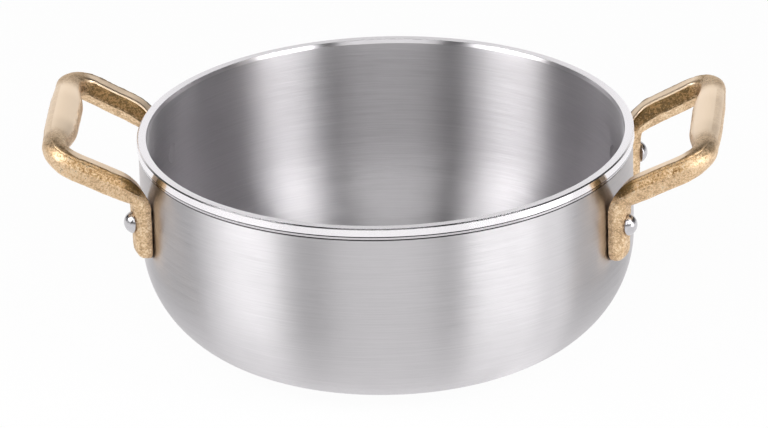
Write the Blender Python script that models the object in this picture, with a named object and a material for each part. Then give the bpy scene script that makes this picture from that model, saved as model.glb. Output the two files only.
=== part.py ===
"""Egg pan: a small round pan of thick aluminium with two cast brass loop handles, each held by two rivets.

The pan stands on its flat base at z = 0, its axis is the Z axis, and the handles reach out along X.
Lengths are in metres and angles in radians.
"""

import math

import bmesh
import bpy
from mathutils import Matrix, Vector

# Pan
RIM_RADIUS = 0.0800
PAN_HEIGHT = 0.0700
WALL_THICKNESS = 0.0030
WALL_DRAFT = math.radians(0.5)
BASE_CORNER_RADIUS = 0.0355
RIM_EDGE_RADIUS = 0.0005

# Bead rolled round the outside of the rim, with a fine ridge under it
BEAD_HEIGHT = 0.0021
BEAD_PROUD = 0.0005
RIDGE_HEIGHT = 0.0007
GROOVE_DEPTH = 0.0002

# Handle loop
FOOT_SPACING = 0.0564
GRIP_CORNER_SPACING = 0.0655
GRIP_STANDOFF = 0.0243
GRIP_RISE = 0.0042
ARM_ROOT_DROP = 0.0107
ARM_HEIGHT = 0.0080
ARM_WIDTH = 0.0080
GRIP_HEIGHT = 0.0092
GRIP_CORNER_RADIUS = 0.0080

# How much wider the grip swells than the arm, outwards and inwards, the share of that at the corner's end
# and the share of the half grip over which the rest comes
GRIP_OUTER_SWELL = 0.0006
GRIP_INNER_SWELL = 0.0022
CORNER_SWELL = 0.10
SWELL_REACH = 0.65

# Foot that the arm turns down into, flat against the wall
FOOT_TIP_DROP = 0.0322
FOOT_WIDTH = 0.0085
FOOT_THICKNESS = 0.0056
FOOT_TIP_THICKNESS = 0.0047
TIP_THINNING = 0.70
FOOT_TURN = 0.0070

# Bend between foot and arm: the large radius over its back and the small one under it
BACK_RADIUS = 0.0160
BELLY_RADIUS = 0.0020

# Handle sections, as shares of the half sizes: half width of the top, upper and lower end of the side,
# half width of the underside
ARM_SECTION = (0.60, 0.06, -0.06, 0.60)
GRIP_SECTION = (0.42, 0.42, -0.42, 0.42)
FOOT_SECTION = (0.97, 0.70, 0.10, 0.62)
CORNER_CUT = 0.25

# Rivet
RIVET_DROP = 0.0194
SHANK_RADIUS = 0.0020
HEAD_RADIUS = 0.0035
HEAD_HEIGHT = 0.0027
HEAD_EDGE = 0.0004
TAIL_RADIUS = 0.0032

# Clearance between neighbouring pieces, and how far a cutter runs past what it cuts
FIT_GAP = 0.0003
CUT_PAST = 0.0020

# Facets
PAN_STEPS = 80
BASE_CORNER_STEPS = 9
RIM_EDGE_STEPS = 3
TIP_STEPS = 4
FOOT_STEPS = 4
BEND_STEPS = 5
ARM_STEPS = 3
GRIP_CORNER_STEPS = 5
GRIP_STEPS = 6
RIVET_STEPS = 20
DOME_STEPS = 5
MERGE_DISTANCE = 1e-6
SHARP_ANGLE = math.radians(35)


def clear_scene():
    for old in list(bpy.data.objects):
        bpy.data.objects.remove(old, do_unlink=True)


def metal(name, colour, roughness):
    made = bpy.data.materials.new(name)
    made.use_nodes = True
    shader = made.node_tree.nodes["Principled BSDF"]
    shader.inputs["Base Color"].default_value = (*colour, 1)
    shader.inputs["Metallic"].default_value = 1
    shader.inputs["Roughness"].default_value = roughness
    return made


def add_object(name, mesh, material):
    made = bpy.data.objects.new(name, mesh)
    made.data.materials.append(material)
    bpy.context.scene.collection.objects.link(made)
    return made


def shade(mesh):
    mesh.shade_smooth()
    mesh.set_sharp_from_angle(angle=SHARP_ANGLE)


def blend(first, second, share):
    return first + (second - first) * share


def smooth_step(value):
    value = min(max(value, 0), 1)
    return value * value * (3 - 2 * value)


def arc(centre, radius, start, end, steps):
    """Points of a circular arc in a plane, both ends included."""
    angles = [blend(start, end, i / steps) for i in range(steps + 1)]
    return [(centre[0] + radius * math.cos(a), centre[1] + radius * math.sin(a)) for a in angles]


def turned(name, profile, steps, material):
    """A profile of (radius, height) points, outer side downwards, turned once about Z."""
    mesh = bpy.data.meshes.new(name)
    ends = [(i, i + 1) for i in range(len(profile) - 1)]
    mesh.from_pydata([(radius, 0, height) for radius, height in profile], ends, [])
    made = add_object(name, mesh, material)
    turn = made.modifiers.new("Turn", "SCREW")
    turn.steps = steps
    turn.render_steps = steps
    turn.use_merge_vertices = True
    turn.merge_threshold = MERGE_DISTANCE
    turn.use_smooth_shade = False
    return made


def turned_mesh(name, profile, steps, material):
    """The same as a plain mesh, for pieces that are placed several times."""
    made = turned(name, profile, steps, material)
    graph = bpy.context.evaluated_depsgraph_get()
    mesh = bpy.data.meshes.new_from_object(made.evaluated_get(graph))
    bpy.data.objects.remove(made, do_unlink=True)
    shade(mesh)
    return mesh


def cut(target, cutter, name):
    cutter.hide_render = True
    cutter.display_type = "WIRE"
    step = target.modifiers.new(name, "BOOLEAN")
    step.operation = "DIFFERENCE"
    step.solver = "EXACT"
    step.object = cutter


# Pan body: a wall with a slight draft that runs into the flat base through one large corner

WALL_RADIUS = RIM_RADIUS - BEAD_PROUD
CORNER_CENTRE_RADIUS = (
    WALL_RADIUS - (PAN_HEIGHT - BASE_CORNER_RADIUS) * math.tan(WALL_DRAFT) - BASE_CORNER_RADIUS
)


def wall_radius_at(height):
    """Outside radius of the pan's side at a height over the base."""
    if height >= BASE_CORNER_RADIUS:
        return WALL_RADIUS - (PAN_HEIGHT - height) * math.tan(WALL_DRAFT)
    drop = min(BASE_CORNER_RADIUS - height, BASE_CORNER_RADIUS)
    return CORNER_CENTRE_RADIUS + math.sqrt(BASE_CORNER_RADIUS**2 - drop**2)


def corner_profile(inset):
    """The corner from the wall's foot down and in to the base, set in from the outside."""
    centre = (CORNER_CENTRE_RADIUS, BASE_CORNER_RADIUS)
    return arc(centre, BASE_CORNER_RADIUS - inset, 0, -math.pi / 2, BASE_CORNER_STEPS)


def bead_profile():
    """Below the rim: the bead's foot, a groove, the fine ridge and the wall again."""
    step = GROOVE_DEPTH + BEAD_PROUD
    foot = PAN_HEIGHT - BEAD_HEIGHT
    groove = foot - step / 2
    lower = groove - RIDGE_HEIGHT
    end = lower - step / 2
    return [
        (RIM_RADIUS, foot + step / 2),
        (WALL_RADIUS - GROOVE_DEPTH, groove),
        (WALL_RADIUS + GROOVE_DEPTH / 2, groove - RIDGE_HEIGHT / 2),
        (WALL_RADIUS - GROOVE_DEPTH, lower),
        (wall_radius_at(end), end),
    ]


def pan_profile():
    """Half section of the shell: floor, inner side, rim, bead, outer side, base."""
    inside = corner_profile(WALL_THICKNESS)[::-1]
    outside = corner_profile(0)
    edge = RIM_EDGE_RADIUS
    mouth = WALL_RADIUS - WALL_THICKNESS
    rim = arc((mouth + edge, PAN_HEIGHT - edge), edge, math.pi, math.pi / 2, RIM_EDGE_STEPS)
    rim += arc((RIM_RADIUS - edge, PAN_HEIGHT - edge), edge, math.pi / 2, 0, RIM_EDGE_STEPS)
    return [(0, WALL_THICKNESS)] + inside + rim + bead_profile() + outside + [(0, 0)]


# Handle: seen from above, an arm leaves the wall square to it and then heads for the grip's corner.
# The front half is modelled and the rear half mirrors it.

RIVET_HEIGHT = PAN_HEIGHT - RIVET_DROP
SEAT_RADIUS = wall_radius_at(RIVET_HEIGHT) + FIT_GAP
FOOT_ANGLE = math.asin(FOOT_SPACING / 2 / SEAT_RADIUS)
OUTWARD = Vector((math.cos(FOOT_ANGLE), -math.sin(FOOT_ANGLE), 0))
SIDEWAYS = Vector((-math.sin(FOOT_ANGLE), -math.cos(FOOT_ANGLE), 0))
SEAT_POINT = OUTWARD * SEAT_RADIUS
TURN_POINT = SEAT_POINT + OUTWARD * FOOT_TURN
GRIP_CORNER = Vector((RIM_RADIUS + GRIP_STANDOFF, -GRIP_CORNER_SPACING / 2, 0))
GRIP_HEADING = Vector((0, 1, 0))
ARM_HEADING = (GRIP_CORNER - TURN_POINT).normalized()
ARM_RUN = FOOT_TURN + (GRIP_CORNER - TURN_POINT).length
ARM_SLOPE = math.atan2(GRIP_RISE + ARM_ROOT_DROP, ARM_RUN)
ARM_DIRECTION = ARM_HEADING * math.cos(ARM_SLOPE) + Vector((0, 0, math.sin(ARM_SLOPE)))
CORNER_TURN = math.acos(ARM_DIRECTION.dot(GRIP_HEADING))
CORNER_SET_BACK = GRIP_CORNER_RADIUS * math.tan(CORNER_TURN / 2)


class Station:
    """One cross-section of the handle: its middle, its two axes and its half sizes.

    across points out of the loop, and up to the side that is the arm's top and the foot's back.
    """

    def __init__(self, middle, across, up, outer, inner, half_height, section):
        self.middle = middle
        self.across = across
        self.up = up
        self.outer = outer
        self.inner = inner
        self.half_height = half_height
        self.section = section

    def corners(self):
        """The section's eight corners, in its own two axes."""
        top, high, low, bottom = self.section
        half = [(top, 1), (1, high), (1, low), (bottom, -1)]
        outer = [(x * self.outer, y * self.half_height) for x, y in half]
        inner = [(-x * self.inner, y * self.half_height) for x, y in half[::-1]]
        return outer + inner

    def ring(self):
        """The corners, each cut off once, in space."""
        corners = self.corners()
        points = []
        for here, after in zip(corners, corners[1:] + corners[:1]):
            for share in (CORNER_CUT, 1 - CORNER_CUT):
                x = blend(here[0], after[0], share)
                y = blend(here[1], after[1], share)
                points.append(self.middle + self.across * x + self.up * y)
        return points


def blend_sections(first, second, share):
    return [blend(a, b, share) for a, b in zip(first, second)]


def plan_point(run):
    """Place seen from above, a distance out from the wall along the arm."""
    on_arm = TURN_POINT + ARM_HEADING * (run - FOOT_TURN)
    if run >= 2 * FOOT_TURN:
        return on_arm
    square_out = SEAT_POINT + OUTWARD * run
    return square_out.lerp(on_arm, run / (2 * FOOT_TURN))


def line_height(run, side):
    """Height of the arm's top line (side 1) or underside (side -1), a distance out from the wall."""
    middle = PAN_HEIGHT - ARM_ROOT_DROP + run * math.tan(ARM_SLOPE)
    return middle + side * ARM_HEIGHT / 2 / math.cos(ARM_SLOPE)


def foot_thickness_at(height):
    tip = PAN_HEIGHT - FOOT_TIP_DROP
    top = PAN_HEIGHT - ARM_ROOT_DROP
    share = (height - tip) / (top - tip)
    return blend(FOOT_TIP_THICKNESS, FOOT_THICKNESS, min(share, 1))


def foot_station(climb):
    """The foot's section, a height over its rounded tip."""
    height = PAN_HEIGHT - FOOT_TIP_DROP + climb
    tip_radius = FOOT_WIDTH / 2
    reach = min(climb / tip_radius, 1)
    half_width = tip_radius * math.sqrt(1 - (1 - reach) ** 2)
    thickness = foot_thickness_at(height) * blend(TIP_THINNING, 1, smooth_step(2 * reach))
    middle = OUTWARD * (wall_radius_at(height) + FIT_GAP + thickness / 2)
    middle.z = height
    return Station(middle, SIDEWAYS, -OUTWARD, half_width, half_width, thickness / 2, FOOT_SECTION)


def rail_station(back, belly, share):
    """The section between a point of the back and one of the belly; share runs from foot to arm."""
    top = plan_point(back.x) + Vector((0, 0, back.y))
    bottom = plan_point(belly.x) + Vector((0, 0, belly.y))
    up = (top - bottom).normalized()
    share = smooth_step(share)
    arm_side = Vector((ARM_HEADING.y, -ARM_HEADING.x, 0))
    across = SIDEWAYS.lerp(arm_side, share)
    across = (across - up * across.dot(up)).normalized()
    half_width = blend(FOOT_WIDTH, ARM_WIDTH, share) / 2
    half_height = (top - bottom).length / 2
    section = blend_sections(FOOT_SECTION, ARM_SECTION, share)
    return Station((top + bottom) / 2, across, up, half_width, half_width, half_height, section)


def back_point(centre, angle):
    """Where a ray from the bend's inner centre meets the back: straight foot, large arc, then the arm's top."""
    turn = math.pi / 2 - ARM_SLOPE
    corner_height = line_height(0, 1)
    arc_start = corner_height - BACK_RADIUS * math.tan(turn / 2)
    arc_end = BACK_RADIUS * (1 - math.cos(turn))
    ray = Vector((math.cos(angle), math.sin(angle)))
    offset = Vector((BACK_RADIUS, arc_start)) - centre
    along = offset.dot(ray)
    reach = along + math.sqrt(max(BACK_RADIUS**2 - (offset.length_squared - along**2), 0))
    on_arc = centre + ray * reach
    if on_arc.y < arc_start:
        return centre - ray * (centre.x / ray.x)
    if on_arc.x <= arc_end:
        return on_arc
    normal = Vector((-math.sin(ARM_SLOPE), math.cos(ARM_SLOPE)))
    to_top_line = Vector((0, corner_height)) - centre
    return centre + ray * (to_top_line.dot(normal) / ray.dot(normal))


def foot_stations(top):
    """Close together round the tip, then evenly up to a height."""
    tip_radius = FOOT_WIDTH / 2
    rise = top - (PAN_HEIGHT - FOOT_TIP_DROP)
    # The first section stands half a step up, where the tip is wide enough to close flat
    quarters = [0.5] + list(range(1, TIP_STEPS))
    climbs = [tip_radius * (1 - math.cos(math.pi / 2 * i / TIP_STEPS)) for i in quarters]
    climbs += [blend(tip_radius, rise, i / FOOT_STEPS) for i in range(FOOT_STEPS + 1)]
    return [foot_station(climb) for climb in climbs]


def bend_centre():
    """Centre of the bend's inner radius, which touches the foot's face and the arm's underside."""
    run = FOOT_THICKNESS + BELLY_RADIUS
    return Vector((run, line_height(run, -1) - BELLY_RADIUS / math.cos(ARM_SLOPE)))


def bend_stations(centre):
    stations = []
    for i in range(1, BEND_STEPS + 1):
        share = i / BEND_STEPS
        angle = blend(math.pi, math.pi / 2 + ARM_SLOPE, share)
        belly = centre + Vector((math.cos(angle), math.sin(angle))) * BELLY_RADIUS
        stations.append(rail_station(back_point(centre, angle), belly, share))
    return stations


def arm_stations(start):
    """Straight out from the bend to where the grip's corner starts."""
    end = ARM_RUN - CORNER_SET_BACK * math.cos(ARM_SLOPE)
    lean = ARM_HEIGHT / 2 * math.sin(ARM_SLOPE)
    stations = []
    for i in range(1, ARM_STEPS + 1):
        run = blend(start, end, i / ARM_STEPS)
        back = Vector((run - lean, line_height(run - lean, 1)))
        belly = Vector((run + lean, line_height(run + lean, -1)))
        stations.append(rail_station(back, belly, 1))
    return stations


def loop_station(middle, across, up, corner_share, grip_share):
    """A section of the corner or the grip, which swells towards the grip's middle."""
    corner_share = smooth_step(corner_share)
    swell = blend(CORNER_SWELL * corner_share, 1, smooth_step(grip_share / SWELL_REACH))
    outer = ARM_WIDTH / 2 + GRIP_OUTER_SWELL * swell
    inner = ARM_WIDTH / 2 + GRIP_INNER_SWELL * swell
    half_height = blend(ARM_HEIGHT, GRIP_HEIGHT, swell) / 2
    section = blend_sections(ARM_SECTION, GRIP_SECTION, corner_share)
    return Station(middle, across, up, outer, inner, half_height, section)


def grip_stations():
    """Round the corner and along the grip to its middle."""
    corner = GRIP_CORNER + Vector((0, 0, PAN_HEIGHT + GRIP_RISE))
    up = ARM_DIRECTION.cross(GRIP_HEADING).normalized()
    inward = up.cross(ARM_DIRECTION)
    centre = corner - ARM_DIRECTION * CORNER_SET_BACK + inward * GRIP_CORNER_RADIUS
    stations = []
    for i in range(1, GRIP_CORNER_STEPS + 1):
        share = i / GRIP_CORNER_STEPS
        angle = CORNER_TURN * share
        across = ARM_DIRECTION * math.sin(angle) - inward * math.cos(angle)
        stations.append(loop_station(centre + across * GRIP_CORNER_RADIUS, across, up, share, 0))
    length = GRIP_CORNER_SPACING / 2 - CORNER_SET_BACK
    for i in range(1, GRIP_STEPS + 1):
        share = i / GRIP_STEPS
        middle = corner + GRIP_HEADING * (CORNER_SET_BACK + length * share)
        stations.append(loop_station(middle, across, up, 1, share))
    return stations


def handle_rings():
    centre = bend_centre()
    bend_end = centre.x - BELLY_RADIUS * math.sin(ARM_SLOPE)
    front = foot_stations(centre.y) + bend_stations(centre) + arm_stations(bend_end) + grip_stations()
    rings = [station.ring() for station in front]
    rear = [[Vector((p.x, -p.y, p.z)) for p in ring] for ring in rings[-2::-1]]
    return rings + rear


def handle_mesh():
    """Skin through all the rings, closed at both tips."""
    built = bmesh.new()
    rings = [[built.verts.new(point) for point in ring] for ring in handle_rings()]
    for ring, after in zip(rings, rings[1:]):
        for i in range(len(ring)):
            built.faces.new((ring[i - 1], ring[i], after[i], after[i - 1]))
    tips = [built.faces.new(rings[0][::-1]), built.faces.new(rings[-1])]
    bmesh.ops.triangulate(built, faces=tips)
    bmesh.ops.recalc_face_normals(built, faces=built.faces)
    mesh = bpy.data.meshes.new("handle")
    built.to_mesh(mesh)
    built.free()
    shade(mesh)
    return mesh


# Rivets: domed head outside, shank through foot and wall, flush tail spread into the wall's countersink

HEAD_SEAT = WALL_THICKNESS + FIT_GAP + foot_thickness_at(RIVET_HEIGHT) + FIT_GAP


def rivet_profile():
    """Half section, outside end first, with the pan's inner face at height 0."""
    top = HEAD_SEAT + HEAD_HEIGHT
    bulge = HEAD_HEIGHT - HEAD_EDGE
    dome_radius = (HEAD_RADIUS**2 + bulge**2) / (2 * bulge)
    start = math.asin((dome_radius - bulge) / dome_radius)
    dome = arc((0, top - dome_radius), dome_radius, math.pi / 2, start, DOME_STEPS)
    body = [
        (HEAD_RADIUS, HEAD_SEAT),
        (SHANK_RADIUS, HEAD_SEAT),
        (SHANK_RADIUS, TAIL_RADIUS - SHANK_RADIUS),
        (TAIL_RADIUS, 0),
        (0, 0),
    ]
    return [(0, top)] + dome[1:] + body


def rivet_hole_profile():
    """The rivet's shank and tail grown by the clearance, long enough to leave both faces."""
    shank = SHANK_RADIUS + FIT_GAP
    tail = TAIL_RADIUS + FIT_GAP * math.sqrt(2)
    outside = HEAD_SEAT + CUT_PAST
    return [(0, outside), (shank, outside), (shank, tail - shank), (tail + CUT_PAST, -CUT_PAST), (0, -CUT_PAST)]


def rivet_frames():
    """Name and frame of each of the four rivets, by handle and side."""
    for handle, x_sign in (("right", 1), ("left", -1)):
        for side, y_sign in (("front", 1), ("rear", -1)):
            outward = Vector((OUTWARD.x * x_sign, OUTWARD.y * y_sign, 0))
            place = outward * (wall_radius_at(RIVET_HEIGHT) - WALL_THICKNESS)
            place.z = RIVET_HEIGHT
            turn = outward.to_track_quat("Z", "Y").to_matrix().to_4x4()
            yield handle, side, Matrix.Translation(place) @ turn


def main():
    clear_scene()
    brushed_aluminium = metal("brushed_aluminium", (0.56, 0.56, 0.57), 0.32)
    polished_aluminium = metal("polished_aluminium", (0.66, 0.66, 0.68), 0.22)
    cast_brass = metal("cast_brass", (0.62, 0.44, 0.23), 0.42)

    body = turned("pan_body", pan_profile(), PAN_STEPS, brushed_aluminium)
    loop = handle_mesh()
    handles = {
        "right": add_object("handle_right", loop, cast_brass),
        "left": add_object("handle_left", loop.copy(), cast_brass),
    }
    handles["left"].rotation_euler.z = math.pi

    rivet = turned_mesh("rivet", rivet_profile(), RIVET_STEPS, polished_aluminium)
    hole = turned_mesh("rivet_hole", rivet_hole_profile(), RIVET_STEPS, polished_aluminium)
    for handle, side, frame in rivet_frames():
        made = add_object(f"rivet_{handle}_{side}", rivet, polished_aluminium)
        made.matrix_world = frame
        cutter = add_object(f"hole_{handle}_{side}", hole, polished_aluminium)
        cutter.matrix_world = frame
        for target in (body, handles[handle]):
            cut(target, cutter, cutter.name)


main()
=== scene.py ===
# %% [markdown]
# # An egg pan in brushed aluminium, with cast brass handles
# The frame below holds the pan's solids at their real size. This lesson dresses them: it turns a fine pan,
# skins two castings, sets four rivets, and gives each metal its own finish. Everything is in metres.

# %% Load the frame
import math
from dataclasses import dataclass

import bmesh
import bpy
from mathutils import Matrix, Vector, noise


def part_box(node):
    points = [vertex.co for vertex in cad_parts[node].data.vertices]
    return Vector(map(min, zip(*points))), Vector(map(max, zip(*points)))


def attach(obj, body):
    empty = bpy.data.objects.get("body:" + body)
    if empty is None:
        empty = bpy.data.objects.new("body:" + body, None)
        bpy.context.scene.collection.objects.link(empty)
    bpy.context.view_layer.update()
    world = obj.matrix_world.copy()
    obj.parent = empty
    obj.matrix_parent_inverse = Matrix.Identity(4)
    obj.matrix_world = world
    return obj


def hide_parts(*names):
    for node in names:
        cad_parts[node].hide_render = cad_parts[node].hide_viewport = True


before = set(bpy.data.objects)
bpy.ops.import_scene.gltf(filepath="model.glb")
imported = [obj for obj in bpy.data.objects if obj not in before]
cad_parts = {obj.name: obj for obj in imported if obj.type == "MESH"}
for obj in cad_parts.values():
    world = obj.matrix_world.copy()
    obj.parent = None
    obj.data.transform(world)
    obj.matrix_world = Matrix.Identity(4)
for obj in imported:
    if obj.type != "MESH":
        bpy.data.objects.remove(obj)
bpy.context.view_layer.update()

MM = 0.001
print("frame:", sorted(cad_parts))

# %% [markdown]
# A few small helpers come first. Colours are written as sRGB hex, as a colour picker shows them, and one
# function turns them to the linear values that a shader works in. One more adds a node to a tree, sets its
# properties and fills its sockets, so that a material reads as a list of what it is made of.

# %% Helpers for values, nodes and objects
def linear(code):
    """An sRGB hex colour as linear red, green, blue and alpha."""
    parts = [int(code[i:i + 2], 16) / 255 for i in (1, 3, 5)]
    return [c / 12.92 if c <= 0.04045 else ((c + 0.055) / 1.055) ** 2.4 for c in parts] + [1.0]


def blend(first, second, share):
    return first + (second - first) * share


def smooth_step(value, low=0.0, high=1.0):
    value = min(max((value - low) / (high - low), 0.0), 1.0)
    return value * value * (3 - 2 * value)


def arc(centre, radius, start, end, steps):
    """Points of a circular arc in a plane, both ends included."""
    angles = [blend(start, end, i / steps) for i in range(steps + 1)]
    return [(centre[0] + radius * math.cos(a), centre[1] + radius * math.sin(a)) for a in angles]


def fill(tree, node, inputs):
    """Fills sockets with values or with links. A node given as the value stands for its first output."""
    for name, value in inputs.items():
        if isinstance(value, bpy.types.Node):
            value = value.outputs[0]
        if isinstance(value, bpy.types.NodeSocket):
            tree.links.new(value, node.inputs[name])
        else:
            node.inputs[name].default_value = value


def add_node(tree, kind, inputs=None, **settings):
    """A node with its properties set and its sockets filled."""
    made = tree.nodes.new(kind)
    for name, value in settings.items():
        setattr(made, name, value)
    fill(tree, made, inputs or {})
    return made


def add_object(name, data):
    made = bpy.data.objects.new(name, data)
    bpy.context.scene.collection.objects.link(made)
    return made


def settle(source, name):
    """A plain mesh object of what the source looks like with its modifiers, with faces turned outwards."""
    graph = bpy.context.evaluated_depsgraph_get()
    mesh = bpy.data.meshes.new_from_object(source.evaluated_get(graph))
    bpy.data.objects.remove(source, do_unlink=True)
    built = bmesh.new()
    built.from_mesh(mesh)
    bmesh.ops.recalc_face_normals(built, faces=built.faces)
    built.to_mesh(mesh)
    built.free()
    mesh.name = name
    return add_object(name, mesh)


print("middle grey is", round(linear("#808080")[0], 3), "in linear light")

# %% [markdown]
# The pan is spun from a disc of aluminium: its shape is one line turned round the axis. It was brushed on the
# lathe, so fine streaks run round it, inside and out. A streak follows the turned line and not the height, or
# the floor would have none. So the noise gets a space of its own: two of its axes go round the pan in steps
# of a streak's length, and the third follows the line in steps of a streak's width.

# %% A space for streaks
STREAK_LENGTH = 22 * MM
STREAK_WIDTH = 0.35 * MM


def streak_space(tree, place):
    """The point in a space where one step is one streak, round the pan or along its turned line."""
    along = add_node(tree, "ShaderNodeAttribute", attribute_name="along").outputs["Fac"]
    scale = (1 / STREAK_LENGTH, 1 / STREAK_LENGTH, 0)
    around = add_node(tree, "ShaderNodeVectorMath", {0: place, 1: scale}, operation="MULTIPLY")
    across = add_node(tree, "ShaderNodeMath", {0: along, 1: 1 / STREAK_WIDTH}, operation="MULTIPLY")
    lifted = add_node(tree, "ShaderNodeCombineXYZ", {2: across})
    return add_node(tree, "ShaderNodeVectorMath", {0: around, 1: lifted}, operation="ADD")


print("streaks:", round(STREAK_LENGTH / MM), "mm long and", round(STREAK_WIDTH / MM, 2), "mm wide")

# %% [markdown]
# The rim isn't brushed but turned, and then polished with paste. Its outer face is the brightest, its flat a
# little less, and the small flare inside the mouth is rougher. The two grooves under the bead are coloured
# dark, which is painted shade. Height and distance from the axis tell these places apart, so no mask has to
# be painted.

# %% The rim's finishes
PAN_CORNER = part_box("pan_body")[1]
PAN_HEIGHT = PAN_CORNER.z
RIM_RADIUS = PAN_CORNER.x
BEAD_PROUD = 0.5 * MM
WALL_RADIUS = RIM_RADIUS - BEAD_PROUD
MOUTH_RADIUS = 76.5 * MM
MOUTH_FLARE = 0.47 * MM
RIM_BAND = 4.15 * MM
BEAD_HEIGHT = 2.55 * MM
FINISH_EDGE = 0.05 * MM
FLARE_EDGE = 0.02 * MM
RIM_FADE = 0.2 * MM
# Where the grooves' painted shade starts and where it is full, as distance out from the wall
GROOVE_SHADE_START = 0.35 * MM
GROOVE_SHADE_FULL = 0.08 * MM
FLARE_ROUGHNESS = 0.30
RIM_ROUGHNESS = 0.20


def passed_both(tree, first, second):
    """1 where two values have both passed their ranges, each given as value, start and end."""
    shares = [add_node(tree, "ShaderNodeMapRange", dict(enumerate(limits))) for limits in (first, second)]
    return add_node(tree, "ShaderNodeMath", dict(enumerate(shares)), operation="MULTIPLY")


def rim_mask(tree, height, out):
    """1 on the turned and polished rim, 0 on the brushed wall."""
    end = PAN_HEIGHT - RIM_BAND
    return passed_both(tree, (height, end - RIM_FADE, end), (out, MOUTH_RADIUS, MOUTH_RADIUS + FINISH_EDGE))


def groove_shade_mask(tree, height, out):
    """1 down in the two grooves under the bead, which are darkened with painted shade, and 0 on bead and
    ridge.
    """
    end = PAN_HEIGHT - BEAD_HEIGHT
    return passed_both(tree, (height, end, end - FINISH_EDGE),
                       (out, WALL_RADIUS + GROOVE_SHADE_START, WALL_RADIUS + GROOVE_SHADE_FULL))


def rim_finish(tree, height, out):
    """Colour and roughness of the rim, from the mouth's flare over the flat to the polished face."""
    lip = MOUTH_RADIUS + MOUTH_FLARE
    rough = add_node(tree, "ShaderNodeMapRange",
                     {0: out, 1: lip - FLARE_EDGE, 2: lip, 3: FLARE_ROUGHNESS, 4: RIM_ROUGHNESS})
    face = add_node(tree, "ShaderNodeMapRange",
                    {0: out, 1: WALL_RADIUS - FINISH_EDGE, 2: WALL_RADIUS + FINISH_EDGE})
    bare = add_node(tree, "ShaderNodeMix",
                    {0: face, 6: linear("#EEEBEE"), 7: linear("#FAF7FA")}, data_type="RGBA")
    # The grooves get a dark colour: painted shade.
    colour = add_node(tree, "ShaderNodeMix",
                      {0: groove_shade_mask(tree, height, out), 6: bare.outputs[2], 7: linear("#565356")},
                      data_type="RGBA")
    return colour.outputs[2], rough


print("rim:", round(RIM_RADIUS / MM, 1), "mm in radius,", round(PAN_HEIGHT / MM, 1), "mm over the base")

# %% [markdown]
# Every metal here starts alike: a metallic shader, and the Object coordinates that its noises read.

# %% A new metal
def new_metal(name):
    """The material, its tree, its shader and the socket with the Object coordinates."""
    made = bpy.data.materials.new(name)
    made.use_nodes = True
    tree = made.node_tree
    shader = tree.nodes["Principled BSDF"]
    shader.inputs["Metallic"].default_value = 1.0
    return made, tree, shader, add_node(tree, "ShaderNodeTexCoord").outputs["Object"]


# %% [markdown]
# Brushing gives the eye one thing above all: reflections smear up and down, across the grooves, and stay
# sharp sideways, so a lamp beside the pan shows as a bright upright band. That is the shader's anisotropy,
# with a tangent that runs round the axis. Streaks shade colour and roughness a little. The relief is two
# noises in streak space: fine scratches, and a slight waviness that frays the edges of the bright bands.

# %% Brushed aluminium
MOTTLE_SIZE = 16 * MM
MOTTLE_SHARE = 0.35
SCRATCHES_PER_STREAK = 3
SCRATCH_DEPTH = 0.03 * MM
WAVE_WIDTH = 2.4 * MM
WAVE_DEPTH = 0.2 * MM
# A noise runs from 0 to 1, but hardly ever leaves the range between these two
NOISE_LOW = 0.3
NOISE_HIGH = 0.7
SMOOTHEST_BRUSHED = 0.41
ROUGHEST_BRUSHED = 0.47
QUARTER_TURN = 0.25


def brushed_relief(tree, streaks):
    """Height of the fine scratches and the wider waves, in scratch depths."""
    finer = add_node(tree, "ShaderNodeVectorMath",
                     {0: streaks, 1: (1, 1, SCRATCHES_PER_STREAK)}, operation="MULTIPLY")
    scratch = add_node(tree, "ShaderNodeTexNoise", {"Vector": finer, "Scale": 1.0, "Detail": 0.0})
    wider = add_node(tree, "ShaderNodeVectorMath",
                     {0: streaks, 1: (1, 1, STREAK_WIDTH / WAVE_WIDTH)}, operation="MULTIPLY")
    wave = add_node(tree, "ShaderNodeTexNoise", {"Vector": wider, "Scale": 1.0, "Detail": 2.0})
    return add_node(tree, "ShaderNodeMath",
                    {0: wave, 1: WAVE_DEPTH / SCRATCH_DEPTH, 2: scratch}, operation="MULTIPLY_ADD")


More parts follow.
